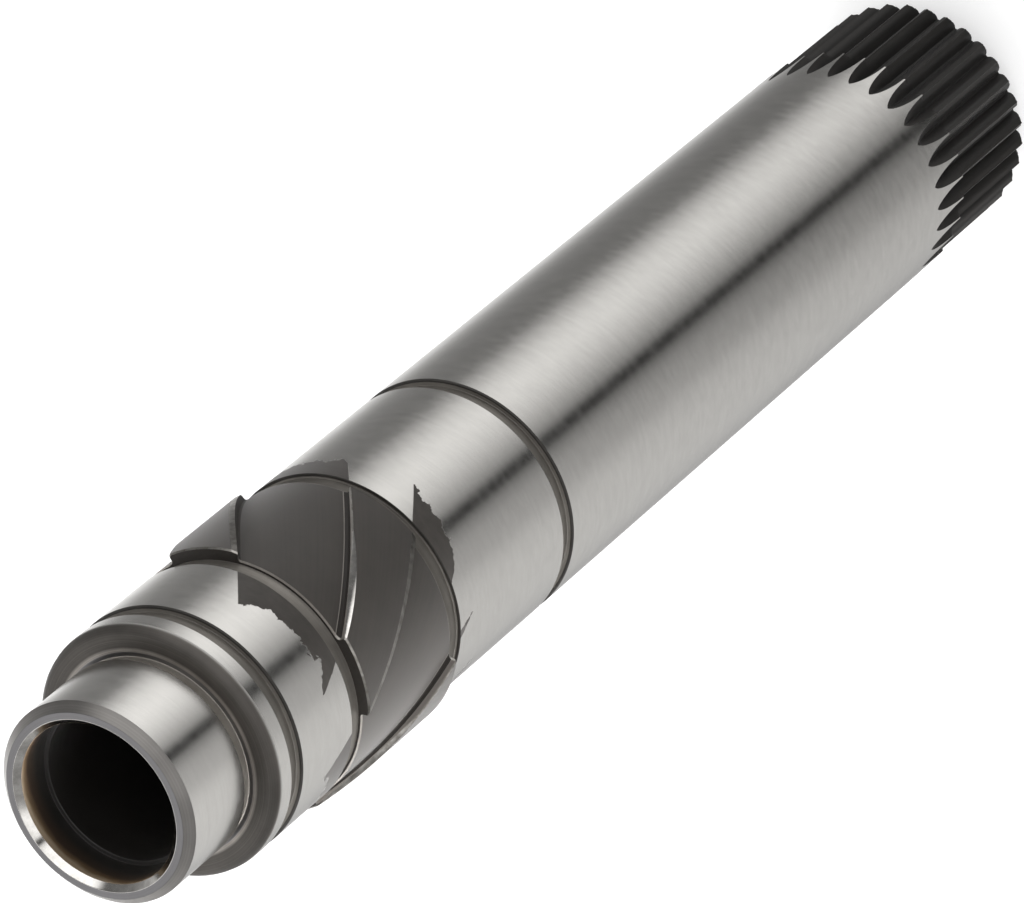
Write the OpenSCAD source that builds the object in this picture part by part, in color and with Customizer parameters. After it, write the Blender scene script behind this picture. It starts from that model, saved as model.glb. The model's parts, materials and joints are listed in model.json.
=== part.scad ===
// Kickstart shaft, standing on its serrated end with the hollow pilot on top.
// One piece of steel: turned, milled, hardened and ground. Millimetres, axis on Z.

/* [Shaft] */
// Length over both ends
overall_len = 125.5; // [115:0.5:170]
// Diameter of the ground run, the lands and the collar
shaft_d = 20; // [18.5:0.1:24]

/* [Pilot] */
// Diameter of the ground pilot at the top
pilot_d = 16; // [15:0.1:17]
// Height of the pilot above the collar's face
pilot_len = 8.1; // [5:0.1:14]
// Bevel on the pilot's outer edge
pilot_bevel = 0.65; // [0.2:0.05:0.9]
// Width of the undercut at the pilot's root
undercut_w = 1; // [0.4:0.1:2]
// Depth of the undercut
undercut_depth = 0.3; // [0.1:0.05:0.5]

/* [Bore] */
// Diameter of the drilled bore
bore_d = 12; // [8:0.1:12.2]
// Depth of the bore's straight wall below the pilot's face
bore_depth = 42; // [15:0.5:60]
// Included angle of the drill point at the bore's end
drill_angle = 118; // [90:1:140]
// Step of the counterbore outside the bore's wall
counterbore_step = 0.35; // [0.05:0.05:0.5]
// Depth of the counterbore
counterbore_depth = 3.3; // [1.5:0.1:8]
// Bevel at the bore's mouth
bore_bevel = 0.45; // [0.2:0.05:0.7]

/* [Collar and ring grooves] */
// Width of the collar between the pilot and the upper ring groove
collar_w = 2.05; // [1.2:0.05:5]
// Bevel on the collar's outer edge
collar_bevel = 0.6; // [0.2:0.05:1]
// Width of each retaining ring groove
ring_groove_w = 1.4; // [0.9:0.05:2]
// Depth of each retaining ring groove
ring_groove_depth = 0.5; // [0.2:0.05:0.8]

/* [Helical splines] */
// Number of helical teeth
tooth_count = 4; // [3:1:5]
// Angle that one tooth takes up around the shaft
tooth_angle = 34; // [24:1:44]
// Height of the teeth above the lands
tooth_h = 0.65; // [0.3:0.05:1.2]
// Length of the teeth along the shaft
tooth_len = 12.5; // [8:0.1:16]
// Axial travel of one left-hand turn
helix_lead = 97; // [70:1:160]
// Turn of the first tooth's middle, half way along it
tooth_turn = -96.6; // [-180:0.1:180]
// How far the milled floor between the teeth lies below the lands
floor_drop = 0.05; // [0.02:0.01:0.2]
// Bevel around the teeth's two ends
tooth_end_bevel = 0.15; // [0.05:0.05:0.3]
// Widest lead bevel on the flank that drives, at the tooth's upper end
lead_bevel = 0.4; // [0.15:0.05:0.6]
// Length over which that bevel fades out
lead_bevel_len = 8.5; // [3:0.5:12]
// Edge break that runs on along the whole flank
edge_break = 0.08; // [0.04:0.01:0.15]
// Width of the relief groove at each end of the teeth
relief_w = 1.35; // [0.6:0.05:2]
// Depth of the relief grooves
relief_depth = 0.3; // [0.1:0.05:0.6]
// Width of the ground land above the splines
upper_land_w = 6.85; // [3:0.05:12]
// Width of the ground land below the splines
lower_land_w = 15.15; // [5:0.05:22]

/* [Serrations] */
// Number of serrations
serration_count = 33; // [24:1:36]
// Turn of the first serration valley
serration_turn = -3.3; // [-8:0.1:8]
// How far the serrations' crests lie below the ground run
crest_step = 0.2; // [0.1:0.05:0.5]
// Length of the crests from the lower end
serration_len = 11.6; // [6:0.1:20]
// Depth of the serration valleys
serration_depth = 0.95; // [0.4:0.05:1.1]
// Angle between a valley's flanks
valley_angle = 70; // [50:1:72]
// Width of a valley's floor
valley_floor = 0.2; // [0.1:0.02:0.3]
// Radius of the milling cutter that leaves the run-outs
cutter_r = 14; // [6:0.5:25]
// Bevel around the lower end
end_bevel = 0.6; // [0.1:0.05:0.9]

/* [Hidden] */
$fn = 128;
shaft_r = shaft_d / 2;
pilot_r = pilot_d / 2;
bore_r = bore_d / 2;
counterbore_r = bore_r + counterbore_step;
groove_r = shaft_r - ring_groove_depth;
floor_r = shaft_r - floor_drop;
relief_r = floor_r - relief_depth;
tip_r = shaft_r + tooth_h;
crest_r = shaft_r - crest_step;
valley_r = crest_r - serration_depth;
overlap = 1;
// Heights of the shoulders, counted down from the pilot's face
collar_z = overall_len - pilot_len;
upper_groove_z = collar_z - collar_w - ring_groove_w;
upper_relief_z = upper_groove_z - upper_land_w;
tooth_top_z = upper_relief_z - relief_w;
tooth_low_z = tooth_top_z - tooth_len;
lower_relief_z = tooth_low_z - relief_w;
lower_groove_z = lower_relief_z - lower_land_w - ring_groove_w;
// The drill point's height below the bore's straight wall
drill_point = bore_r / tan(drill_angle / 2);
gap_angle = 360 / tooth_count - tooth_angle;
// The milling cut between two teeth ends half way across the relief grooves
gap_low_z = tooth_low_z - relief_w / 2;
gap_len = tooth_len + relief_w;
degrees_per_section = 5;
gap_sections = ceil(gap_len * 360 / helix_lead / degrees_per_section);
// How far a serration valley's cutter stands out of the ground run
valley_clear = 0.05;
// Height at which the valleys begin to rise to the run-outs, a little below the crests' ends
run_out_lead = 0.4;
run_out_z = serration_len - crest_step - run_out_lead;
// Turn of the cutter's rim above that height, clear of the shaft at its end
run_out_turn = acos(1 - (serration_depth + crest_step + overlap) / cutter_r);
run_out_sections = 6;

// Outline of the turned blank, from the axis at the lower end round to the axis at the top
function blank_outline() = [
    [0, 0],
    [crest_r - end_bevel, 0],
    [crest_r, end_bevel],
    [crest_r, serration_len - crest_step],
    [shaft_r, serration_len],
    [shaft_r, lower_groove_z],
    [groove_r, lower_groove_z],
    [groove_r, lower_groove_z + ring_groove_w],
    [shaft_r, lower_groove_z + ring_groove_w],
    [shaft_r, lower_relief_z],
    [relief_r, lower_relief_z],
    [relief_r, tooth_low_z],
    [tip_r - tooth_end_bevel, tooth_low_z],
    [tip_r, tooth_low_z + tooth_end_bevel],
    [tip_r, tooth_top_z - tooth_end_bevel],
    [tip_r - tooth_end_bevel, tooth_top_z],
    [relief_r, tooth_top_z],
    [relief_r, upper_relief_z],
    [shaft_r, upper_relief_z],
    [shaft_r, upper_groove_z],
    [groove_r, upper_groove_z],
    [groove_r, upper_groove_z + ring_groove_w],
    [shaft_r, upper_groove_z + ring_groove_w],
    [shaft_r, collar_z - collar_bevel],
    [shaft_r - collar_bevel, collar_z],
    [pilot_r - undercut_depth, collar_z],
    [pilot_r - undercut_depth, collar_z + undercut_w],
    [pilot_r, collar_z + undercut_w],
    [pilot_r, overall_len - pilot_bevel],
    [pilot_r - pilot_bevel, overall_len],
    [0, overall_len],
];

// Outline of the drilled bore with its counterbore and the bevel at its mouth
function bore_outline() = [
    [0, overall_len - bore_depth - drill_point],
    [bore_r, overall_len - bore_depth],
    [bore_r, overall_len - counterbore_depth],
    [counterbore_r, overall_len - counterbore_depth],
    [counterbore_r, overall_len - bore_bevel],
    [counterbore_r + bore_bevel + overlap, overall_len + overlap],
    [0, overall_len + overlap],
];

// Outline of a serration valley's cutter: across the valley and out from its floor
function valley_outline() = let (
        height = serration_depth + crest_step + valley_clear,
        floor_half = valley_floor / 2,
        mouth_half = floor_half + height * tan(valley_angle / 2)
    ) [
        [-floor_half, 0],
        [floor_half, 0],
        [mouth_half, height],
        [-mouth_half, height],
    ];

// Lead bevel's width at a height, widest at the teeth's upper end
function bevel_at(z) = max(edge_break, lead_bevel * (1 - (tooth_top_z - z) / lead_bevel_len));

// Section through the gap between two teeth: turn from the gap's middle in degrees, radius
function gap_section(bevel) = let (
        half = gap_angle / 2,
        out_r = tip_r / cos(half) + overlap,
        degrees_per_mm = 180 / (PI * tip_r),
        lead_flare = (bevel + out_r - tip_r) * degrees_per_mm,
        plain_flare = (edge_break + out_r - tip_r) * degrees_per_mm
    ) [
        [-half, floor_r - overlap],
        [half, floor_r - overlap],
        [half, tip_r - edge_break],
        [half + plain_flare, out_r],
        [0, out_r],
        [-half - lead_flare, out_r],
        [-half, tip_r - bevel],
    ];

// A solid through a stack of sections with like corners, listed clockwise as seen from above
module section_stack(sections) {
    corner_count = len(sections[0]);
    last = len(sections) - 1;
    sides = [for (i = [0:last - 1], k = [0:corner_count - 1], upper = [0, 1])
        let (
            a = i * corner_count + k,
            b = i * corner_count + (k + 1) % corner_count
        )
        upper == 0 ? [a, b, b + corner_count] : [a, b + corner_count, a + corner_count]];
    low_end = [for (k = [corner_count - 1:-1:0]) k];
    high_end = [for (k = [0:corner_count - 1]) last * corner_count + k];
    polyhedron(
        points = [for (section = sections, point = section) point],
        faces = concat(sides, [low_end, high_end])
    );
}

// The helical sweep of one gap
module gap_sweep() {
    middle_z = (tooth_low_z + tooth_top_z) / 2;
    heights = [for (i = [0:gap_sections]) gap_low_z + gap_len * i / gap_sections];
    section_stack([for (z = heights)
        [for (corner = gap_section(bevel_at(z)))
            let (turn = corner[0] - 360 * (z - middle_z) / helix_lead)
            [corner[1] * cos(turn), corner[1] * sin(turn), z]]]);
}

// The milled gaps, with a round floor
module milled_gaps() {
    difference() {
        for (i = [0:tooth_count - 1])
            rotate([0, 0, tooth_turn + 360 * (i + 0.5) / tooth_count])
                gap_sweep();
        translate([0, 0, gap_low_z - overlap])
            cylinder(h = gap_len + 2 * overlap, r = floor_r);
    }
}

// Stations along a serration valley: height, and the floor's rise as the cutter leaves the shaft
function valley_stations() = concat(
    [[-overlap, 0]],
    [for (i = [0:run_out_sections])
        let (turn = run_out_turn * i / run_out_sections)
        [run_out_z + cutter_r * sin(turn), cutter_r * (1 - cos(turn))]]
);

// One serration valley with the round run-out that the milling cutter leaves above it
module serration_valley() {
    section_stack([for (station = valley_stations())
        [for (corner = valley_outline())
            [valley_r + station[1] + corner[1], corner[0], station[0]]]]);
}

module around_serrations() {
    for (i = [0:serration_count - 1])
        rotate([0, 0, serration_turn + 360 * i / serration_count])
            children();
}

// The blank as it leaves the lathe, with its bore
module turned_blank() {
    difference() {
        rotate_extrude()
            polygon(blank_outline());
        rotate_extrude()
            polygon(bore_outline());
    }
}

module splined_blank() {
    difference() {
        turned_blank();
        milled_gaps();
    }
}

module shaft() {
    color("silver")
        difference() {
            splined_blank();
            around_serrations()
                serration_valley();
        }
}

shaft();
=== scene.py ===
import json
import math

import bpy
import numpy as np
from mathutils import Matrix, Vector


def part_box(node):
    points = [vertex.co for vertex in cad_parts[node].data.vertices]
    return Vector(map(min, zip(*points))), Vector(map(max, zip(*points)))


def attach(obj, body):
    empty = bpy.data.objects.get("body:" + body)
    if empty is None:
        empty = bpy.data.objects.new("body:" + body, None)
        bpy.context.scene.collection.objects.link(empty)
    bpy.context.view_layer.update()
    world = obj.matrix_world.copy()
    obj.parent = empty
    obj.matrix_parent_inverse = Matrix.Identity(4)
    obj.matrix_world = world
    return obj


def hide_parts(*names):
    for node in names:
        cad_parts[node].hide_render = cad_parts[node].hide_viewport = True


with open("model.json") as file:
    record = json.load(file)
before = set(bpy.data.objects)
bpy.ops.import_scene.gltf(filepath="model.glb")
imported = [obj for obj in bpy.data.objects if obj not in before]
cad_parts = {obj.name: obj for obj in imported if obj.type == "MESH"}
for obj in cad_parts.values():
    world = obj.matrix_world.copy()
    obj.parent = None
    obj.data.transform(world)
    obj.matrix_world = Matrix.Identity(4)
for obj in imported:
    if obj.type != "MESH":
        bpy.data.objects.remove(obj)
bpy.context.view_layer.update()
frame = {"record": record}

# Sizes in millimetres and degrees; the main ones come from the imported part
MM = 0.001
mounts = {mount["name"]: mount for mount in frame["record"]["mounts"]}
SHAFT_R = mounts["main_journal"]["dims"]["r_mm"]
PILOT_R = mounts["pilot"]["dims"]["r_mm"]
BORE_R = mounts["bore"]["dims"]["r_mm"]
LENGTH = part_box("shaft")[1].z / MM

# Pilot, bore, collar and lands
PILOT_LEN = 8.1
PILOT_BEVEL = 0.65
UNDERCUT_W = 1.0
UNDERCUT_DEPTH = 0.3
BORE_DEPTH = 42.0
DRILL_ANGLE = 118.0
COUNTERBORE_STEP = 0.35
COUNTERBORE_DEPTH = 3.3
BORE_BEVEL = 0.45
COLLAR_W = 2.05
COLLAR_ROUND = 0.75
RING_GROOVE_W = 1.4
RING_GROOVE_DEPTH = 0.5
UPPER_LAND_W = 6.85
LOWER_LAND_W = 15.15
RELIEF_W = 1.35
RELIEF_DEPTH = 0.3

# Helical teeth
TOOTH_COUNT = 4
TOOTH_ANGLE = 34.0
TOOTH_H = 0.65
TOOTH_LEN = 12.5
TOOTH_TURN = -96.6
HELIX_LEAD = 97.0
FLOOR_DROP = 0.05
TOOTH_END_BEVEL = 0.12
LEAD_BEVEL = 0.42
LEAD_BEVEL_LEN = 8.5
# Share of its length at which the lead bevel is widest, and how much of its width fades away
LEAD_BEVEL_MIDDLE = 0.47
LEAD_BEVEL_FADE = 0.9
EDGE_BREAK = 0.08
# The other flank's broken edge, across the top and down the flank
PLAIN_BREAK = (0.5, 0.1)
# Angle that a flank leans in over half its height
FLANK_LEAN = 0.03
# The rounded foot of a flank: height, share at its bend, width on each flank, painted-highlight line
# beside it
FOOT_ROUND = 0.25
FOOT_BEND = 0.3
LEAD_FOOT = 0.45
PLAIN_FOOT = 0.25
FOOT_LINE = 0.1
FLOOR_END_BEVEL = 0.1

# Serrated end
SERRATION_COUNT = 33
SERRATION_TURN = -3.3
SERRATION_LEN = 11.6
SERRATION_DEPTH = 0.95
CREST_STEP = 0.2
VALLEY_ANGLE = 70.0
VALLEY_FLOOR = 0.2
CUTTER_R = 12.0
RUN_OUT_LEAD = 0.4
END_BEVEL = 0.6

# Radii and heights that follow from them
FLOOR_R = SHAFT_R - FLOOR_DROP
RELIEF_R = FLOOR_R - RELIEF_DEPTH
DRILL_POINT = BORE_R / math.tan(math.radians(DRILL_ANGLE / 2))
TIP_R = SHAFT_R + TOOTH_H
GROOVE_R = SHAFT_R - RING_GROOVE_DEPTH
CREST_R = SHAFT_R - CREST_STEP
VALLEY_R = CREST_R - SERRATION_DEPTH
COLLAR_Z = LENGTH - PILOT_LEN
UPPER_GROOVE_Z = COLLAR_Z - COLLAR_W - RING_GROOVE_W
UPPER_RELIEF_Z = UPPER_GROOVE_Z - UPPER_LAND_W
TOOTH_TOP_Z = UPPER_RELIEF_Z - RELIEF_W
TOOTH_LOW_Z = TOOTH_TOP_Z - TOOTH_LEN
TOOTH_MIDDLE_Z = (TOOTH_TOP_Z + TOOTH_LOW_Z) / 2
LOWER_RELIEF_Z = TOOTH_LOW_Z - RELIEF_W
LOWER_GROOVE_Z = LOWER_RELIEF_Z - LOWER_LAND_W - RING_GROOVE_W
RUN_OUT_Z = SERRATION_LEN - CREST_STEP - RUN_OUT_LEAD

# The skin's grid: columns around the axis suit both the teeth and the serrations
COLUMNS_PER_SERRATION = 12
COLUMNS = SERRATION_COUNT * COLUMNS_PER_SERRATION
COLUMNS_PER_TOOTH = COLUMNS // TOOTH_COUNT
COLUMN_STEP = 360 / COLUMNS
TOOTH_TOP_COLUMNS = 31
ARC_STEPS = 3
SUPPORT = 0.05
EDGE_ROUND = 0.06
GROOVE_EDGE_ROUND = 0.14
TOOTH_ROWS = 44
RUN_OUT_ROWS = 17
# Above 1, the run-outs' rows lie closer together towards the tips
RUN_OUT_SPACING = 1.5
END_BEVEL_ROWS = 6
# Share of the bore's radius at the last row on its drill point
DRILL_TIP = 0.1
# Distances of supporting rows from the lower ring groove, the run-outs and the end face's rim
GROOVE_MARGIN = 2.0
RUN_OUT_MARGIN = 1.0
END_FACE_MARGIN = 0.2
SERRATION_MIDDLE_Z = 5.0
# Edges sharper than this angle are shaded as edges
SHARP_ANGLE = 40.0
# How far a point may lie off a cylinder, in mm, to be shaded as part of it
ON_CYLINDER = 0.0005
# How far the milling cutter's marks can reach across the lands beside the teeth
MARK_REACH = 4.0
MARK_ROWS = (0.66, 0.33)

FINISHES = [
    "ground", "milled", "flank", "scuffed", "groove", "turned", "bore", "serration", "bare", "worn",
]
FINISH = {name: number for number, name in enumerate(FINISHES)}


class Skin:
    """Rows of points around the axis that are joined into one closed surface."""

    def __init__(self):
        self.rows = []
        self.strips = []

    def add(self, turn, radius, height, finish):
        """Adds a row; finish is that of the strip between it and the row before."""
        row = np.zeros((COLUMNS, 3))
        row[:, 0] = turn
        row[:, 1] = radius
        row[:, 2] = height
        self.rows.append(row)
        if isinstance(finish, str):
            finish = np.full(COLUMNS, FINISH[finish])
        self.strips.append(finish)

    def follow(self, corners, turn):
        """Adds rows along an outline of (radius, height, rounding, finish of the stretch to here)."""
        for radius, height, finish in rounded_path(corners):
            self.add(turn, radius, height, finish)


def unit(vector):
    return vector / np.linalg.norm(vector)


def rounded_path(corners):
    """Points along an outline with its corners rounded, and a support point beside each rounding."""
    path = [(corners[0][0], corners[0][1], corners[0][3])]
    for before, corner, after in zip(corners, corners[1:], corners[2:]):
        place = np.array(corner[:2])
        back = unit(np.array(before[:2]) - place)
        ahead = unit(np.array(after[:2]) - place)
        rounding = corner[2]
        half_angle = math.acos(float(np.dot(back, ahead))) / 2
        reach = rounding / math.tan(half_angle)
        centre = place + unit(back + ahead) * rounding / math.sin(half_angle)
        start = place + back * reach
        end = place + ahead * reach
        path.append((*(start + back * SUPPORT), corner[3]))
        path.append((*start, corner[3]))
        for step in range(1, ARC_STEPS + 1):
            share = step / ARC_STEPS
            along = start + (end - start) * share
            point = centre + unit(along - centre) * rounding
            path.append((*point, corner[3]))
        path.append((*(end + ahead * SUPPORT), after[3]))
    last = corners[-1]
    path.append((last[0], last[1], last[3]))
    return path


def helix_turn(height):
    """Turn of the left-hand helix at a height; the columns keep it a little way onto the lands."""
    held = np.clip(height, LOWER_RELIEF_Z - MARK_REACH, UPPER_RELIEF_Z + MARK_REACH)
    return -360 * (held - TOOTH_MIDDLE_Z) / HELIX_LEAD


def even_turn(height):
    """Evenly spaced columns, counted from the middle of a gap."""
    start = TOOTH_TURN - 180 / TOOTH_COUNT
    return start + COLUMN_STEP * np.arange(COLUMNS) + helix_turn(height)


def flank_keys(side, across, down, foot):
    """Columns up one flank of a tooth, from the floor to the top: angle from its middle, radius."""
    degrees_per_mm = 180 / (math.pi * TIP_R)
    flank = TOOTH_ANGLE / 2
    middle_r = (FLOOR_R + FOOT_ROUND + TIP_R - down) / 2
    keys = [
        (flank + (foot + FOOT_LINE) * degrees_per_mm, FLOOR_R),
        (flank + foot * degrees_per_mm, FLOOR_R),
        (flank + FOOT_BEND * foot * degrees_per_mm, FLOOR_R + FOOT_BEND * FOOT_ROUND),
        (flank, FLOOR_R + FOOT_ROUND),
        (flank - FLANK_LEAN, middle_r),
        (flank - 2 * FLANK_LEAN, TIP_R - down),
        (flank - 2 * FLANK_LEAN - across * degrees_per_mm, TIP_R),
        (flank - 2 * FLANK_LEAN - (across + 2 * SUPPORT) * degrees_per_mm, TIP_R),
    ]
    return [(side * angle, radius) for angle, radius in keys]


def lead_bevel(height):
    """Width of the lead bevel, which swells and fades out along the flank that drives."""
    middle = LEAD_BEVEL_MIDDLE * LEAD_BEVEL_LEN
    share = (TOOTH_TOP_Z - height - middle) / (LEAD_BEVEL_LEN - middle)
    return max(EDGE_BREAK, LEAD_BEVEL * (1 - LEAD_BEVEL_FADE * share ** 2))


def tooth_pattern(height):
    """Angles and radii of one tooth's columns, from the middle of one gap to the next."""
    bevel = lead_bevel(height)
    plain = flank_keys(-1, *PLAIN_BREAK, PLAIN_FOOT)
    lead = flank_keys(1, bevel, bevel, LEAD_FOOT)[::-1]
    half_pitch = 180 / TOOTH_COUNT
    floor_columns = (COLUMNS_PER_TOOTH - TOOTH_TOP_COLUMNS - len(plain) - len(lead)) // 2
    before = np.linspace(-half_pitch, plain[0][0], floor_columns + 1)[:-1]
    top = np.linspace(plain[-1][0], lead[0][0], TOOTH_TOP_COLUMNS + 2)[1:-1]
    after = np.linspace(lead[-1][0], half_pitch, floor_columns + 2)[1:-1]
    angles = np.concatenate([before, [key[0] for key in plain], top, [key[0] for key in lead], after])
    radii = np.concatenate([
        np.full(len(before), FLOOR_R),
        [key[1] for key in plain],
        np.full(len(top), TIP_R),
        [key[1] for key in lead],
        np.full(len(after), FLOOR_R),
    ])
    return angles, radii


def tooth_row(height):
    """Turns and radii of all columns across the teeth at a height."""
    angles, radii = tooth_pattern(height)
    turns = [TOOTH_TURN + 360 * i / TOOTH_COUNT + angles for i in range(TOOTH_COUNT)]
    return np.concatenate(turns) + helix_turn(height), np.tile(radii, TOOTH_COUNT)


def end_cut(radii, distance):
    """Radii near a tooth's end, with the bevel on the teeth and a small rounding on the floor."""
    share = (radii - FLOOR_R) / (TIP_R - FLOOR_R)
    tooth_cut = max(0.0, TOOTH_END_BEVEL - distance)
    floor_cut = max(0.0, FLOOR_END_BEVEL - distance)
    return radii - share * tooth_cut - (1 - share) * floor_cut


# Of the teeth, this one has its lead bevel polished by the pinion
BARE_TOOTH = 0


def flank_finish(height):
    """Finish of each column's faces along the teeth: flanks darkened as painted shade below bare or worn
    edges, with pale painted-highlight lines on the lead flank.
    """
    finish = np.full(COLUMNS, FINISH["milled"])
    radii = tooth_row(height)[1]
    tooth = np.arange(COLUMNS) // COLUMNS_PER_TOOTH
    after = np.roll(radii, -1)
    before = np.roll(radii, 1)
    # Flanks and their rounded feet: the oxide darkened further as painted shade
    finish[(radii < TIP_R) & (after < TIP_R) & (radii != after)] = FINISH["flank"]
    finish[(after == TIP_R) & (radii < TIP_R)] = FINISH["worn"]
    # Pale lines of painted highlight: the lead flank above its foot, and the floor beside that foot
    finish[(radii > after) & (radii < TIP_R) & (after >= FLOOR_R + FOOT_ROUND)] = FINISH["scuffed"]
    finish[(radii == FLOOR_R) & (before > FLOOR_R)] = FINISH["scuffed"]
    lead_edge = (radii == TIP_R) & (after < TIP_R)
    finish[lead_edge] = FINISH["worn"]
    if lead_bevel(height) > EDGE_BREAK:
        finish[lead_edge & (tooth == BARE_TOOTH)] = FINISH["bare"]
    return finish


def end_finish():
    """Finish of the faces around the teeth's ends: worn edges, and a pale line of painted highlight along
    the floor.
    """
    finish = np.full(COLUMNS, FINISH["worn"])
    # A pale line of painted highlight along the floor at the teeth's ends
    finish[tooth_row(TOOTH_TOP_Z)[1] == FLOOR_R] = FINISH["scuffed"]
    return finish


def add_teeth(skin):
    """Rows down the helical teeth, between the two relief grooves' floors."""
    turn, radii = tooth_row(TOOTH_TOP_Z)
    skin.add(turn, RELIEF_R, TOOTH_TOP_Z + EDGE_ROUND, "groove")
    skin.add(turn, RELIEF_R + EDGE_ROUND / 2, TOOTH_TOP_Z, "groove")
    # The teeth's upper end faces share the flanks' painted shade
    skin.add(turn, end_cut(radii, 0), TOOTH_TOP_Z, "flank")
    for distance in (FLOOR_END_BEVEL, TOOTH_END_BEVEL):
        height = TOOTH_TOP_Z - distance
        turn, radii = tooth_row(height)
        skin.add(turn, end_cut(radii, distance), height, end_finish())
    for i in range(1, TOOTH_ROWS + 1):
        height = TOOTH_TOP_Z - TOOTH_END_BEVEL - (TOOTH_LEN - 2 * TOOTH_END_BEVEL) * i / TOOTH_ROWS
        turn, radii = tooth_row(height)
        skin.add(turn, radii, height, flank_finish(height))
    for distance in (FLOOR_END_BEVEL, 0):
        height = TOOTH_LOW_Z + distance
        turn, radii = tooth_row(height)
        skin.add(turn, end_cut(radii, distance), height, end_finish())
    # The teeth's lower end faces share the flanks' painted shade
    skin.add(turn, RELIEF_R + EDGE_ROUND / 2, TOOTH_LOW_Z, "flank")
    skin.add(turn, RELIEF_R, TOOTH_LOW_Z - EDGE_ROUND, "groove")


def serration_columns():
    """Evenly spaced columns with one at each valley, and each column's place in its serration."""
    lower = even_turn(0)
    places = np.round((lower - SERRATION_TURN) / COLUMN_STEP).astype(int)
    return SERRATION_TURN + places * COLUMN_STEP, places % COLUMNS_PER_SERRATION


def floor_rise(height):
    """Rise of a valley's floor as the milling cutter leaves the shaft."""
    climb = max(0.0, height - RUN_OUT_Z)
    return CUTTER_R - math.sqrt(CUTTER_R ** 2 - climb ** 2)


# How far the crests' edges are rounded off, and the full depth of a run-out below the ground run
CREST_ROUND = 0.16
RUN_OUT_DEPTH = SHAFT_R - VALLEY_R
RUN_OUT_TIP_Z = RUN_OUT_Z + math.sqrt(CUTTER_R ** 2 - (CUTTER_R - RUN_OUT_DEPTH) ** 2)
# Least half widths of a run-out and of its floor
TIP_HALF = 0.05
TIP_FLOOR_HALF = 0.2 * TIP_HALF
# Length above the tips over which the columns spread out evenly again
SPREAD_LEN = 1.2
# The cutter's rounded corners leave blunt run-outs
BLUNT_LEN = 1.0
BLUNT_EDGE = 0.9
BLUNT_POWER = 0.66


def half_serration(height):
    """Across half a serration, from its valley to its crest: offsets and radii of the columns."""
    half = COLUMNS_PER_SERRATION // 2
    half_pitch = math.pi * SHAFT_R / SERRATION_COUNT
    crest_share = min(1.0, max(0.0, (SERRATION_LEN - height) / CREST_STEP))
    top_r = SHAFT_R - CREST_STEP * crest_share
    depth = max(0.0, top_r - VALLEY_R - floor_rise(height))
    floor_half = max(TIP_FLOOR_HALF, VALLEY_FLOOR / 2 * min(1.0, depth / SERRATION_DEPTH))
    edge = max(TIP_HALF, floor_half + depth * math.tan(math.radians(VALLEY_ANGLE / 2)))
    blunt = min(1.0, max(0.0, (height - SERRATION_LEN) / BLUNT_LEN))
    edge += blunt * (BLUNT_EDGE * (depth / RUN_OUT_DEPTH) ** BLUNT_POWER - edge) * (depth > 0)
    shares = np.linspace(0, 1, half - 1)
    offsets = np.concatenate([[0], floor_half + (edge - floor_half) * shares, [half_pitch]])
    radii = np.concatenate([[top_r - depth], top_r - depth * (1 - shares), [top_r]])
    radii[half - 1] -= CREST_ROUND * crest_share
    spread = min(1.0, max(0.0, (height - RUN_OUT_TIP_Z) / SPREAD_LEN))
    even = half_pitch * np.arange(half + 1) / half
    return offsets + (even - offsets) * spread, radii


def serration_row(height):
    """Turns and radii of all columns across the serrations at a height."""
    turns, places = serration_columns()
    offsets, radii = half_serration(height)
    half = COLUMNS_PER_SERRATION // 2
    signed = np.where(places > half, places - COLUMNS_PER_SERRATION, places)
    valleys = turns - signed * COLUMN_STEP
    offset = np.sign(signed) * offsets[np.abs(signed)]
    return valleys + np.degrees(offset / SHAFT_R), radii[np.abs(signed)]


def run_out_finish(height):
    """Black in the valleys; the ground run reaches down between them to the crests' ends."""
    places = serration_columns()[1]
    half = COLUMNS_PER_SERRATION // 2
    finish = np.full(COLUMNS, FINISH["serration"])
    crests = (places == half - 1) | (places == half)
    if height >= SERRATION_LEN:
        finish[crests] = FINISH["ground"]
    return finish


def add_serrations(skin):
    """Rows down the run-outs and the serrations to the end face."""
    for height in (RUN_OUT_TIP_Z + SPREAD_LEN, RUN_OUT_TIP_Z + SPREAD_LEN / 2, RUN_OUT_TIP_Z):
        skin.add(*serration_row(height), height, "ground")
    run_out_len = RUN_OUT_TIP_Z - SERRATION_LEN
    for share in np.linspace(0, 1, RUN_OUT_ROWS + 1)[1:] ** RUN_OUT_SPACING:
        height = RUN_OUT_TIP_Z - run_out_len * share
        skin.add(*serration_row(height), height, run_out_finish(height))
    crest_z = SERRATION_LEN - CREST_STEP
    heights = [
        crest_z,
        crest_z - 2 * SUPPORT,
        RUN_OUT_Z,
        RUN_OUT_Z - RUN_OUT_MARGIN,
        SERRATION_MIDDLE_Z,
        END_BEVEL + SUPPORT,
        END_BEVEL,
    ]
    for height in heights:
        skin.add(*serration_row(height), height, "serration")
    for height in np.linspace(END_BEVEL, 0, END_BEVEL_ROWS + 1)[1:]:
        turn, radii = serration_row(height)
        skin.add(turn, np.minimum(radii, CREST_R - END_BEVEL + height), height, "serration")
    skin.add(serration_columns()[0], VALLEY_R - END_FACE_MARGIN, 0, "turned")
    skin.add(serration_columns()[0], BORE_R / 2, 0, "turned")


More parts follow.
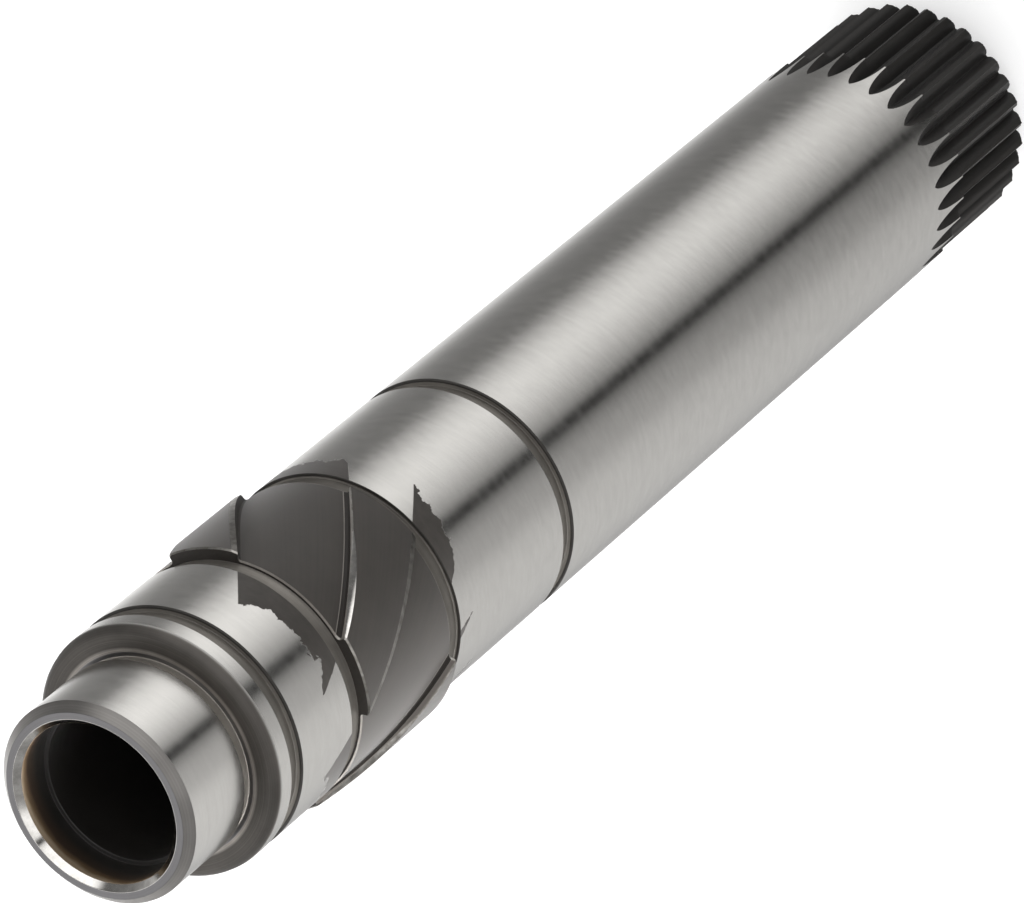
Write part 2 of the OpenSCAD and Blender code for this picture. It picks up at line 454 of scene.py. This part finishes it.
def add_bore_and_pilot(skin):
    """Rows up the bore, over the pilot's face and down to the upper relief groove."""
    bore_low_z = LENGTH - BORE_DEPTH
    counterbore_r = BORE_R + COUNTERBORE_STEP
    counterbore_z = LENGTH - COUNTERBORE_DEPTH
    undercut_r = PILOT_R - UNDERCUT_DEPTH
    turn = even_turn(LENGTH)
    skin.add(turn, DRILL_TIP * BORE_R, bore_low_z - (1 - DRILL_TIP) * DRILL_POINT, "bore")
    skin.follow([
        (BORE_R, bore_low_z, 0, "bore"),
        (BORE_R, counterbore_z, EDGE_ROUND, "bore"),
        (counterbore_r, counterbore_z, EDGE_ROUND / 2, "bore"),
        (counterbore_r, LENGTH - BORE_BEVEL, EDGE_ROUND, "bore"),
        (counterbore_r + BORE_BEVEL, LENGTH, EDGE_ROUND, "bare"),
        (PILOT_R - PILOT_BEVEL, LENGTH, EDGE_ROUND, "turned"),
        (PILOT_R, LENGTH - PILOT_BEVEL, EDGE_ROUND, "turned"),
        (PILOT_R, COLLAR_Z + UNDERCUT_W, EDGE_ROUND, "ground"),
        (undercut_r, COLLAR_Z + UNDERCUT_W, EDGE_ROUND, "groove"),
        (undercut_r, COLLAR_Z, EDGE_ROUND, "groove"),
        (SHAFT_R, COLLAR_Z, COLLAR_ROUND, "turned"),
        (SHAFT_R, UPPER_GROOVE_Z + RING_GROOVE_W, EDGE_ROUND, "ground"),
        (GROOVE_R, UPPER_GROOVE_Z + RING_GROOVE_W, EDGE_ROUND, "groove"),
        (GROOVE_R, UPPER_GROOVE_Z, EDGE_ROUND, "groove"),
        (SHAFT_R, UPPER_GROOVE_Z, GROOVE_EDGE_ROUND, "groove"),
        (SHAFT_R, UPPER_RELIEF_Z + MARK_REACH, 0, "ground"),
    ], turn)
    for share in MARK_ROWS:
        height = UPPER_RELIEF_Z + MARK_REACH * share
        skin.add(even_turn(height), SHAFT_R, height, "ground")
    turn = even_turn(UPPER_RELIEF_Z)
    skin.follow([
        (SHAFT_R, UPPER_RELIEF_Z + 2 * SUPPORT + EDGE_ROUND, 0, "ground"),
        (SHAFT_R, UPPER_RELIEF_Z, EDGE_ROUND, "ground"),
        (RELIEF_R, UPPER_RELIEF_Z, EDGE_ROUND, "groove"),
        (RELIEF_R, UPPER_RELIEF_Z - RELIEF_W / 4, 0, "groove"),
    ], turn)


def add_lower_run(skin):
    """Rows from the lower relief groove down the lower land and the long ground run."""
    turn = even_turn(LOWER_RELIEF_Z)
    skin.follow([
        (RELIEF_R, LOWER_RELIEF_Z + RELIEF_W / 4, 0, "groove"),
        (RELIEF_R, LOWER_RELIEF_Z, EDGE_ROUND, "groove"),
        (SHAFT_R, LOWER_RELIEF_Z, EDGE_ROUND, "groove"),
        (SHAFT_R, LOWER_RELIEF_Z - 2 * SUPPORT - EDGE_ROUND, 0, "ground"),
    ], turn)
    for share in reversed(MARK_ROWS):
        height = LOWER_RELIEF_Z - MARK_REACH * share
        skin.add(even_turn(height), SHAFT_R, height, "ground")
    turn = even_turn(0)
    skin.follow([
        (SHAFT_R, LOWER_RELIEF_Z - MARK_REACH, 0, "ground"),
        (SHAFT_R, LOWER_GROOVE_Z + RING_GROOVE_W, EDGE_ROUND, "ground"),
        (GROOVE_R, LOWER_GROOVE_Z + RING_GROOVE_W, EDGE_ROUND, "groove"),
        (GROOVE_R, LOWER_GROOVE_Z, EDGE_ROUND, "groove"),
        (SHAFT_R, LOWER_GROOVE_Z, GROOVE_EDGE_ROUND, "groove"),
        (SHAFT_R, LOWER_GROOVE_Z - GROOVE_MARGIN, 0, "ground"),
    ], turn)
    skin.add(serration_columns()[0], SHAFT_R, RUN_OUT_TIP_Z + 3 * SPREAD_LEN, "ground")


# Reach of the cutter's marks across the lands, by the angle from the middle of a gap
UPPER_MARK = ([-28.5, -26.7, -19.6, -13, 2, 12, 21.5, 28.5], [0.4, 2.9, 1.5, 2.0, 2.0, 2.0, 2.7, 3.3])
LOWER_MARK = ([-28.5, -26.5, -20, -7, 10, 22, 28.5], [2.0, 2.6, 2.2, 2.2, 2.0, 2.5, 3.2])
SHORT_MARK = (
    [-28.5, -27, -25, -24, -4, -2.5, -1, 6, 15, 22, 28.5],
    [0.2, 1.9, 0.6, -1, -1, 0.3, 1.3, 2.0, 2.4, 2.5, 3.2],
)
SHORT_MARK_GAP = 3
UNMARKED_GAP = 1
MARK_HALF_ANGLE = 28.5
NO_MARK = -1


def mark_fields(row):
    """How far inside the cutter's marks a row's points lie, in mm: by reach and by straight sides."""
    turn = row[:, 0] - helix_turn(row[:, 2]) - TOOTH_TURN
    pitch = 360 / TOOTH_COUNT
    gap = np.floor(turn / pitch).astype(int) % TOOTH_COUNT
    angle = turn % pitch - pitch / 2
    above = row[:, 2] - UPPER_RELIEF_Z
    below = LOWER_RELIEF_Z - row[:, 2]
    lower = np.where(gap == SHORT_MARK_GAP, np.interp(angle, *SHORT_MARK), np.interp(angle, *LOWER_MARK))
    upper = np.where(gap == UNMARKED_GAP, NO_MARK, np.interp(angle, *UPPER_MARK))
    reach = np.where(above > below, upper - above, lower - below)
    side = (MARK_HALF_ANGLE - np.abs(angle)) * math.pi / 180 * SHAFT_R
    return reach, side


def skin_faces(row_count):
    """Corner numbers of the faces between the rows, and of the two caps' fans."""
    column = np.arange(COLUMNS)
    after = np.roll(column, -1)
    faces = []
    for row in range(row_count - 1):
        here = row * COLUMNS
        there = here + COLUMNS
        faces.extend(np.stack([here + column, there + column, there + after, here + after], 1).tolist())
    first_pole = row_count * COLUMNS
    last_pole = first_pole + 1
    last_row = (row_count - 1) * COLUMNS
    faces.extend(np.stack([np.full(COLUMNS, first_pole), column, after], 1).tolist())
    faces.extend(np.stack([np.full(COLUMNS, last_pole), last_row + after, last_row + column], 1).tolist())
    return faces


def round_ground_cylinders(mesh):
    """Gives the ground cylinders truly round normals, also where few columns cross them."""
    corners = np.zeros(len(mesh.loops), np.int32)
    mesh.loops.foreach_get("vertex_index", corners)
    places = np.zeros(len(mesh.vertices) * 3)
    mesh.vertices.foreach_get("co", places)
    around = places.reshape(-1, 3)[corners]
    finishes = np.zeros(len(mesh.polygons), np.int32)
    mesh.polygons.foreach_get("material_index", finishes)
    sizes = np.zeros(len(mesh.polygons), np.int32)
    mesh.polygons.foreach_get("loop_total", sizes)
    radius = np.hypot(around[:, 0], around[:, 1]) / MM
    on_cylinder = np.minimum(np.abs(radius - SHAFT_R), np.abs(radius - PILOT_R)) < ON_CYLINDER
    is_ground = np.repeat(finishes, sizes) == FINISH["ground"]
    normals = around * np.array([1, 1, 0]) / np.maximum(radius, 1)[:, None] / MM
    normals[~(on_cylinder & is_ground)] = 0
    mesh.normals_split_custom_set(normals.tolist())


def build_shaft():
    """The shaft's skin as one closed mesh."""
    skin = Skin()
    add_bore_and_pilot(skin)
    add_teeth(skin)
    add_lower_run(skin)
    add_serrations(skin)
    rows = np.array(skin.rows)
    turn = np.radians(rows[..., 0])
    points = np.stack([rows[..., 1] * np.cos(turn), rows[..., 1] * np.sin(turn), rows[..., 2]], -1)
    poles = np.array([[0, 0, LENGTH - BORE_DEPTH - DRILL_POINT], [0, 0, 0]])
    vertices = np.concatenate([points.reshape(-1, 3), poles]) * MM
    faces = skin_faces(len(rows))
    mesh = bpy.data.meshes.new("kickstart_shaft")
    mesh.from_pydata(vertices.tolist(), [], faces)
    finishes = np.concatenate([
        *skin.strips[1:],
        np.full(COLUMNS, FINISH["bore"]),
        np.full(COLUMNS, FINISH["turned"]),
    ])
    mesh.polygons.foreach_set("material_index", finishes.astype(np.int32))
    fields = np.array([mark_fields(row) for row in rows])
    for name, values in (("mark_reach", fields[:, 0]), ("mark_side", fields[:, 1])):
        field = np.append(values.ravel(), [NO_MARK, NO_MARK])
        attribute = mesh.attributes.new(name, "FLOAT", "POINT")
        attribute.data.foreach_set("value", field.astype(np.float32))
    mesh.validate()
    mesh.shade_smooth()
    mesh.set_sharp_from_angle(angle=math.radians(SHARP_ANGLE))
    round_ground_cylinders(mesh)
    piece = bpy.data.objects.new("kickstart_shaft", mesh)
    bpy.context.scene.collection.objects.link(piece)
    return piece


# The part of a noise's range that most of its values lie in
NOISE_RANGE = (0.3, 0.7)


class Graph:
    """Short forms for building a node tree."""

    def __init__(self, tree):
        self.tree = tree
        self.tree.nodes.clear()

    def feed(self, socket, value):
        if isinstance(value, bpy.types.NodeSocket):
            self.tree.links.new(value, socket)
        else:
            socket.default_value = value

    def node(self, kind, settings=None, **inputs):
        node = self.tree.nodes.new(kind)
        for name, value in (settings or {}).items():
            setattr(node, name, value)
        for name, value in inputs.items():
            self.feed(node.inputs[name.replace("_", " ")], value)
        return node

    def math(self, operation, *values):
        node = self.node("ShaderNodeMath", {"operation": operation})
        for socket, value in zip(node.inputs, values):
            self.feed(socket, value)
        return node.outputs[0]

    def vector(self, operation, *values):
        node = self.node("ShaderNodeVectorMath", {"operation": operation})
        for socket, value in zip(node.inputs, values):
            self.feed(socket, value)
        return node.outputs["Value" if operation == "LENGTH" else "Vector"]

    def range(self, value, low, high, to_low=0.0, to_high=1.0, smooth=False):
        blend = "SMOOTHSTEP" if smooth else "LINEAR"
        node = self.node("ShaderNodeMapRange", {"interpolation_type": blend})
        for socket, given in zip(node.inputs, (value, low, high, to_low, to_high)):
            self.feed(socket, given)
        return node.outputs["Result"]

    def noise(self, vector, detail=3.0):
        node = self.node("ShaderNodeTexNoise", Vector=vector, Scale=1.0, Detail=detail, Roughness=0.6)
        return node.outputs["Fac"]

    def average(self, first, second):
        return self.math("MULTIPLY_ADD", first, 0.5, self.math("MULTIPLY", second, 0.5))

    def mix(self, share, first, second):
        node = self.node("ShaderNodeMix", {"data_type": "RGBA"}, Factor=share)
        colours = [socket for socket in node.inputs if socket.type == "RGBA"]
        for socket, value in zip(colours, (first, second)):
            self.feed(socket, value)
        return [socket for socket in node.outputs if socket.type == "RGBA"][0]

    def ramp(self, share, *stops):
        node = self.node("ShaderNodeValToRGB", Fac=share)
        elements = node.color_ramp.elements
        while len(elements) < len(stops):
            elements.new(0.5)
        for element, (place, colour) in zip(elements, stops):
            element.position = place
            element.color = (*colour, 1)
        return node.outputs["Color"]

    def tones(self, share, dark, light):
        """A noise's usual range, from a dark tone to a light one."""
        return self.ramp(share, *zip(NOISE_RANGE, (dark, light)))


# Depth of the finest marks on the steel, and the gloss of its dark skin
BUMP_DEPTH = 0.02 * MM
OXIDE_IOR = 1.3
SHEEN_ROUGHNESS = 0.5


class Steel(Graph):
    """A steel finish: its material, its shader and the object's own coordinates."""

    def __init__(self, name, metallic, roughness):
        self.material = bpy.data.materials.new(name)
        self.material.use_nodes = True
        super().__init__(self.material.node_tree)
        self.shader = self.node("ShaderNodeBsdfPrincipled", Metallic=metallic, Roughness=roughness)
        output = self.node("ShaderNodeOutputMaterial")
        self.feed(output.inputs["Surface"], self.shader.outputs[0])
        coordinates = self.node("ShaderNodeTexCoord")
        self.place = coordinates.outputs["Object"]
        self.normal = coordinates.outputs["Normal"]

    def set(self, name, value):
        self.feed(self.shader.inputs[name], value)

    def scaled(self, across, along):
        """Coordinates with their own scale, per metre, across and along the shaft's axis."""
        return self.vector("MULTIPLY", self.place, (across, across, along))

    def radius(self):
        return self.vector("LENGTH", self.vector("MULTIPLY", self.place, (1, 1, 0)))

    def beyond(self, start, end, smooth=False):
        """A share that rises from 0 to 1 between two radii in millimetres."""
        return self.range(self.radius(), start * MM, end * MM, smooth=smooth)

    def height(self):
        return self.node("ShaderNodeSeparateXYZ", Vector=self.place).outputs["Z"]

    def upright(self):
        """How far a face looks along the axis, from 0 on a cylinder to 1 on a shoulder."""
        return self.math("ABSOLUTE", self.node("ShaderNodeSeparateXYZ", Vector=self.normal).outputs["Z"])

    def bump(self, height, strength):
        node = self.node("ShaderNodeBump", Strength=strength, Distance=BUMP_DEPTH, Height=height)
        self.set("Normal", node.outputs["Normal"])

    def oxide(self, sheen):
        """A dark skin from hardening, which looks paler at a flat angle."""
        self.set("IOR", OXIDE_IOR)
        self.set("Sheen Weight", sheen)
        self.set("Sheen Roughness", SHEEN_ROUGHNESS)


# Tones of the milled tops and floors, which the cutter's marks on the lands share
MILLED_SHEEN = 0.3
MILLED_DARK = (0.044, 0.038, 0.0325)
MILLED_LIGHT = (0.066, 0.057, 0.049)
# How far those marks' edges stray, and how softly they end, in millimetres
MARK_RAGGED = 0.35
MARK_SOFT = 0.05


def ground_steel():
    """Bright ground steel with fine lines round the shaft and the milling cutter's dark marks."""
    steel = Steel("ground_steel", 1.0, 0.21)
    steel.set("Anisotropic", 0.6)
    steel.set("Anisotropic Rotation", 0.25)
    tangent = steel.node("ShaderNodeTangent", {"direction_type": "RADIAL", "axis": "Z"})
    steel.set("Tangent", tangent.outputs[0])
    lines = steel.noise(steel.scaled(250, 9000))
    clouds = steel.noise(steel.scaled(700, 1400), 4.0)
    bright = steel.tones(steel.average(lines, clouds), (0.605, 0.590, 0.564), (0.655, 0.640, 0.611))
    reach = steel.node("ShaderNodeAttribute", {"attribute_name": "mark_reach"}).outputs["Fac"]
    side = steel.node("ShaderNodeAttribute", {"attribute_name": "mark_side"}).outputs["Fac"]
    chips = steel.noise(steel.scaled(1500, 1500), 3.0)
    ragged = steel.range(chips, *NOISE_RANGE, -MARK_RAGGED, MARK_RAGGED)
    inside = steel.math("MINIMUM", steel.math("ADD", reach, ragged), side)
    mark = steel.range(inside, -MARK_SOFT, MARK_SOFT, smooth=True)
    dark = steel.tones(clouds, MILLED_DARK, MILLED_LIGHT)
    steel.oxide(steel.math("MULTIPLY", mark, MILLED_SHEEN))
    steel.set("Base Color", steel.mix(mark, bright, dark))
    steel.set("Metallic", steel.range(mark, 0.0, 1.0, 1.0, 0.0))
    smoothness = steel.range(clouds, *NOISE_RANGE, 0.18, 0.24)
    steel.set("Roughness", steel.range(mark, 0.0, 1.0, smoothness, 0.5))
    steel.bump(lines, 0.006)
    return steel.material


def oxide_steel(name, dark, light, sheen):
    """Steel dark from hardening, with faint cutter lines along the helix."""
    steel = Steel(name, 0.0, 0.5)
    steel.oxide(sheen)
    turn = steel.math("MULTIPLY", steel.height(), 2 * math.pi / (HELIX_LEAD * MM))
    about_axis = {"rotation_type": "Z_AXIS"}
    unwound = steel.node("ShaderNodeVectorRotate", about_axis, Vector=steel.place, Angle=turn)
    lines = steel.noise(steel.vector("MULTIPLY", unwound.outputs[0], (4000, 4000, 60)))
    tone = steel.average(lines, steel.noise(steel.scaled(350, 350), 4.0))
    steel.set("Base Color", steel.tones(tone, dark, light))
    steel.set("Roughness", steel.range(tone, *NOISE_RANGE, 0.44, 0.54))
    steel.bump(tone, 0.12)
    return steel.material


def milled_steel():
    """The tops of the teeth and the floors between them."""
    return oxide_steel("milled_steel", MILLED_DARK, MILLED_LIGHT, MILLED_SHEEN)


def flank_steel():
    """The teeth's flanks and ends: the dark oxide made darker still as painted shade."""
    return oxide_steel("flank_steel", (0.020, 0.017, 0.0145), (0.036, 0.031, 0.027), 0.05)


def scuffed_steel():
    """Pale lines of painted highlight where edges catch the light: beside a flank's foot, on its upper
    part and at the floor's ends.
    """
    return oxide_steel("scuffed_steel", (0.22, 0.20, 0.18), (0.34, 0.31, 0.28), MILLED_SHEEN)


# Widths of the dark line along the top of a groove's wall and of the light line on the collar's edge
DARK_EDGE = 0.2
DARK_EDGE_FADE = 0.04
LIGHT_EDGE = 0.06
# Distances outside the pilot over which tones change: to the collar, past its root, past the undercut
COLLAR_START = (0.05, 0.1)
COLLAR_ROOT = (0.2, 0.45)
GROOVE_ROOT = 0.1


def groove_steel():
    """Brown-grey grooves, which no grinding wheel reached, with a dark edge."""
    steel = Steel("groove_steel", 0.7, 0.45)
    lines = steel.noise(steel.scaled(120, 7000))
    tone = steel.average(lines, steel.noise(steel.scaled(500, 500), 4.0))
    deep = steel.tones(tone, (0.145, 0.134, 0.119), (0.228, 0.213, 0.191))
    root = steel.tones(tone, (0.28, 0.26, 0.23), (0.44, 0.41, 0.37))
    brown = steel.mix(steel.beyond(PILOT_R, PILOT_R + GROOVE_ROOT), root, deep)
    edge = steel.tones(tone, (0.020, 0.0175, 0.015), (0.048, 0.043, 0.038))
    upper = steel.beyond(SHAFT_R - DARK_EDGE - DARK_EDGE_FADE, SHAFT_R - DARK_EDGE)
    steel.set("Base Color", steel.mix(upper, brown, edge))
    steel.set("Metallic", steel.range(steel.upright(), 0.2, 0.6, 0.7, 0.2))
    steel.set("Roughness", steel.range(tone, *NOISE_RANGE, 0.38, 0.52))
    steel.bump(tone, 0.25)
    return steel.material


def turned_steel():
    """Grey turned faces with rings of tool marks; the collar is darker than the pilot."""
    steel = Steel("turned_steel", 1.0, 0.36)
    one_way = {"noise_dimensions": "1D"}
    rings = steel.node("ShaderNodeTexNoise", one_way, W=steel.radius(), Scale=9000.0, Detail=2.0)
    tone = steel.average(rings.outputs["Fac"], steel.noise(steel.scaled(300, 300), 4.0))
    collar = steel.beyond(PILOT_R + COLLAR_START[0], PILOT_R + COLLAR_START[1])
    face = steel.tones(tone, (0.158, 0.155, 0.158), (0.212, 0.207, 0.212))
    bevel = steel.tones(tone, (0.185, 0.176, 0.167), (0.255, 0.244, 0.232))
    flat = steel.range(steel.upright(), 0.75, 0.92)
    dark = steel.tones(tone, (0.072, 0.066, 0.060), (0.115, 0.106, 0.097))
    root = steel.tones(tone, (0.22, 0.203, 0.185), (0.50, 0.467, 0.43))
    past_root = steel.beyond(PILOT_R + COLLAR_ROOT[0], PILOT_R + COLLAR_ROOT[1])
    shoulder = steel.mix(past_root, root, dark)
    roll = steel.beyond(SHAFT_R - LIGHT_EDGE, SHAFT_R, smooth=True)
    rolled = steel.mix(roll, shoulder, (0.42, 0.41, 0.39, 1))
    steel.set("Base Color", steel.mix(collar, steel.mix(flat, bevel, face), rolled))
    steel.set("Metallic", steel.range(collar, 0.0, 1.0, steel.range(flat, 0.0, 1.0, 0.75, 1.0), 0.8))
    steel.set("Roughness", steel.range(collar, 0.0, 1.0, steel.range(tone, *NOISE_RANGE, 0.3, 0.4), 0.5))
    steel.bump(tone, 0.12)
    return steel.material


# How far the bore's tint is drawn in towards its mouth, on one side and on the other: painted light,
# which leaves the brown deeper on one side
LIT_SIDE_SHIFT = (0.08, 0.005)


def bore_steel():
    """The bore: brown at its mouth as a painted reflection, deeper on one side as painted light, and dark
    further in as painted shade, with a paler step.
    """
    steel = Steel("bore_steel", 0.0, 0.4)
    depth = steel.range(steel.height(), LENGTH * MM, (LENGTH - 2 * COUNTERBORE_DEPTH) * MM)
    clouds = steel.noise(steel.scaled(300, 900), 4.0)
    across = steel.node("ShaderNodeSeparateXYZ", Vector=steel.place).outputs["Y"]
    # Painted light: the colours sit deeper on one side of the bore
    lit_side = steel.range(across, BORE_R / 2 * MM, BORE_R * MM, *LIT_SIDE_SHIFT)
    cloudy = steel.range(clouds, *NOISE_RANGE, -0.02, 0.02)
    spread = steel.math("ADD", steel.math("ADD", depth, lit_side), cloudy)
    # Painted reflection and shade: brown near the mouth, darkening further in
    wall = steel.ramp(
        spread,
        (0.12, (0.52, 0.41, 0.29)),
        (0.17, (0.20, 0.135, 0.08)),
        (0.24, (0.06, 0.042, 0.03)),
        (0.4, (0.03, 0.028, 0.026)),
    )
    step = steel.range(steel.upright(), 0.3, 0.8)
    steel.set("Base Color", steel.mix(step, wall, (0.036, 0.034, 0.032, 1)))
    steel.set("Roughness", steel.range(clouds, *NOISE_RANGE, 0.32, 0.5))
    steel.bump(clouds, 0.15)
    return steel.material


# Depths below the crests at which their paler tone begins and is full
CREST_PALE = (0.45, 0.05)


def serration_steel():
    """Black serrations, paler towards their crests."""
    steel = Steel("serration_steel", 0.0, 0.45)
    steel.oxide(0.08)
    lines = steel.noise(steel.scaled(4000, 120))
    tone = steel.average(lines, steel.noise(steel.scaled(400, 400), 4.0))
    black = steel.tones(tone, (0.010, 0.0088, 0.0078), (0.018, 0.016, 0.0142))
    # The paler tone towards the crests; the valleys stay darker
    worn = steel.tones(tone, (0.019, 0.017, 0.0152), (0.031, 0.0278, 0.025))
    crest = steel.beyond(CREST_R - CREST_PALE[0], CREST_R - CREST_PALE[1], smooth=True)
    steel.set("Base Color", steel.mix(crest, black, worn))
    steel.set("Roughness", steel.range(tone, *NOISE_RANGE, 0.42, 0.54))
    steel.bump(tone, 0.2)
    return steel.material


def bare_steel():
    """Polished metal on one tooth's lead bevel and at the bore's mouth."""
    steel = Steel("bare_steel", 1.0, 0.1)
    clouds = steel.noise(steel.scaled(900, 900))
    steel.set("Base Color", steel.tones(clouds, (0.56, 0.54, 0.51), (0.84, 0.82, 0.785)))
    steel.set("Roughness", steel.range(clouds, *NOISE_RANGE, 0.06, 0.14))
    return steel.material


def worn_steel():
    """Half-bare metal on the other broken edges."""
    steel = Steel("worn_steel", 1.0, 0.32)
    clouds = steel.noise(steel.scaled(1500, 1500))
    steel.set("Base Color", steel.tones(clouds, (0.19, 0.178, 0.16), (0.45, 0.433, 0.405)))
    return steel.material


MAKERS = {
    "ground": ground_steel, "milled": milled_steel, "flank": flank_steel, "scuffed": scuffed_steel,
    "groove": groove_steel, "turned": turned_steel, "bore": bore_steel, "serration": serration_steel,
    "bare": bare_steel, "worn": worn_steel,
}

# The studio: soft panels around the shaft, by the angle from the camera's side, as angle and brightness
STUDIO = [
    (-180, 1.05), (-165, 1.12), (-150, 0.76), (-140, 0.48), (-128, 0.31), (-115, 0.26), (-95, 0.22),
    (-84, 0.23), (-75, 0.53), (-60, 0.93), (-50, 1.06), (-40, 1.10), (-30, 0.98), (-20, 0.82),
    (-10, 0.60), (0, 0.38), (4, 0.20), (7, 0.03), (13, 0.03), (17, 0.24), (22, 0.33), (30, 0.44),
    (50, 0.53), (60, 0.65), (70, 0.71), (90, 0.75), (120, 0.73), (140, 0.62), (150, 0.52),
    (160, 0.44), (180, 1.00),
]
# How fast those panels fall off towards the floor, about which slope, and within which limits
FALL_OFF = [
    (-180, 4.0), (-140, 4.8), (-100, 3.2), (-70, 2.6), (-40, 4.2), (-20, 5.6), (0, 7.0), (30, 8.5),
    (60, 6.0), (90, 4.0), (120, 2.8), (180, 3.0),
]
FALL_MIDDLE = 0.757
FALL_LEVEL = 0.92
FALL_LIMITS = (0.1, 1.6)
# The panels high above the shaft, which its upward bevels show, and the slopes at which they take over
HIGH_STUDIO = [
    (-180, 1.35), (-160, 1.10), (-140, 0.60), (-110, 0.20), (-82, 0.14), (-74, 1.20), (-60, 1.60),
    (-20, 1.50), (0, 1.15), (5, 1.00), (7, 0.03), (13, 0.03), (15, 1.00), (20, 1.15), (48, 1.15),
    (58, 0.40), (80, 0.35), (120, 0.30), (150, 0.80), (180, 1.35),
]
HIGH_RISE = (-0.3, -0.1)
# The soft light on matt surfaces, from around and, at steeper slopes, from the top
SOFT_LIGHT = [
    (-180, 5.0), (-150, 6.5), (-125, 4.5), (-105, 1.0), (-90, 0.4), (40, 0.4), (65, 0.7), (90, 7.0),
    (110, 11.0), (150, 11.0), (180, 5.0),
]
SOFT_TOP = (0.5, 0.5, 0.5, 1)
TOP_RISE = (0.45, 0.75)


def make_world():
    """Soft light from all around: the metal shows the studio's panels and the camera a white backdrop."""
    world = bpy.data.worlds.new("studio")
    world.use_nodes = True
    world.cycles.sampling_method = "NONE"
    bpy.context.scene.world = world
    graph = Graph(world.node_tree)
    direction = graph.node("ShaderNodeTexCoord").outputs["Generated"]
    parts = graph.node("ShaderNodeSeparateXYZ", Vector=direction)
    rise = parts.outputs["Z"]
    across = graph.math("MULTIPLY", parts.outputs["X"], -1.0)
    towards = graph.math("MULTIPLY", parts.outputs["Y"], -1.0)
    share = graph.range(graph.math("ARCTAN2", across, towards), -math.pi, math.pi)

    def around(stops):
        greys = [((angle + 180) / 360, (level, level, level)) for angle, level in stops]
        return graph.ramp(share, *greys)

    slope = graph.math("MULTIPLY", around(FALL_OFF), graph.math("ADD", rise, FALL_MIDDLE))
    dimming = graph.range(graph.math("ADD", slope, FALL_LEVEL), *FALL_LIMITS, *FALL_LIMITS)
    level = graph.vector("MULTIPLY", around(STUDIO), dimming)
    panels = graph.mix(graph.range(rise, *HIGH_RISE), level, around(HIGH_STUDIO))
    lamps = graph.mix(graph.range(rise, *TOP_RISE), around(SOFT_LIGHT), SOFT_TOP)
    rays = graph.node("ShaderNodeLightPath").outputs
    mirrored = graph.math("MAXIMUM", rays["Is Glossy Ray"], rays["Is Transmission Ray"])
    light = graph.mix(mirrored, lamps, panels)
    colour = graph.mix(rays["Is Camera Ray"], light, (1, 1, 1, 1))
    background = graph.node("ShaderNodeBackground", Color=colour)
    output = graph.node("ShaderNodeOutputWorld")
    graph.feed(output.inputs["Surface"], background.outputs[0])


FLOOR_SIZE = 3.0
# A hair below the end face, so that the two do not lie in one plane
FLOOR_LEVEL = -0.05 * MM
FLOOR_COLOUR = (0.4, 0.4, 0.4, 1)
FLOOR_GLOW = 0.65


def make_floor():
    """A pale floor that keeps a soft shadow; the metal shows the studio's panels down to the floor."""
    mesh = bpy.data.meshes.new("floor")
    half = FLOOR_SIZE / 2
    corners = [(-half, -half, 0), (half, -half, 0), (half, half, 0), (-half, half, 0)]
    mesh.from_pydata(corners, [], [(0, 1, 2, 3)])
    floor = bpy.data.objects.new("floor", mesh)
    floor.location.z = FLOOR_LEVEL
    bpy.context.scene.collection.objects.link(floor)
    floor.visible_glossy = False
    material = bpy.data.materials.new("pale_floor")
    material.use_nodes = True
    graph = Graph(material.node_tree)
    matt = graph.node("ShaderNodeBsdfDiffuse", Color=FLOOR_COLOUR)
    seen = graph.node("ShaderNodeLightPath").outputs["Is Camera Ray"]
    glow = graph.node("ShaderNodeEmission", Strength=graph.math("MULTIPLY", seen, FLOOR_GLOW))
    both = graph.node("ShaderNodeAddShader")
    graph.feed(both.inputs[0], matt.outputs[0])
    graph.feed(both.inputs[1], glow.outputs[0])
    output = graph.node("ShaderNodeOutputMaterial")
    graph.feed(output.inputs["Surface"], both.outputs[0])
    mesh.materials.append(material)


# The camera, at the photograph's viewing angle
CAMERA_PLACE = Vector((0.0, -0.3768, 0.50195))
CAMERA_FORWARD = Vector((0.0003, 0.6547, -0.7559))
CAMERA_ROLL = -130.1
LENS_MM = 266.93
SENSOR_MM = 36.0
CLIP_START = 0.01


def make_camera():
    """The camera, rolled so that the shaft lies across the picture as in the photograph."""
    data = bpy.data.cameras.new("camera")
    data.lens = LENS_MM
    data.sensor_width = SENSOR_MM
    data.sensor_fit = "HORIZONTAL"
    data.clip_start = CLIP_START
    camera = bpy.data.objects.new("camera", data)
    bpy.context.scene.collection.objects.link(camera)
    turn = CAMERA_FORWARD.to_track_quat("-Z", "Y").to_matrix().to_4x4()
    roll = Matrix.Rotation(math.radians(CAMERA_ROLL), 4, "Z")
    camera.matrix_world = Matrix.Translation(CAMERA_PLACE) @ turn @ roll
    bpy.context.scene.camera = camera


make_camera()
make_world()
make_floor()
shaft = build_shaft()
for finish in FINISHES:
    shaft.data.materials.append(MAKERS[finish]())
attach(shaft, "root")
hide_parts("shaft")
bpy.context.scene.view_settings.view_transform = "Standard"
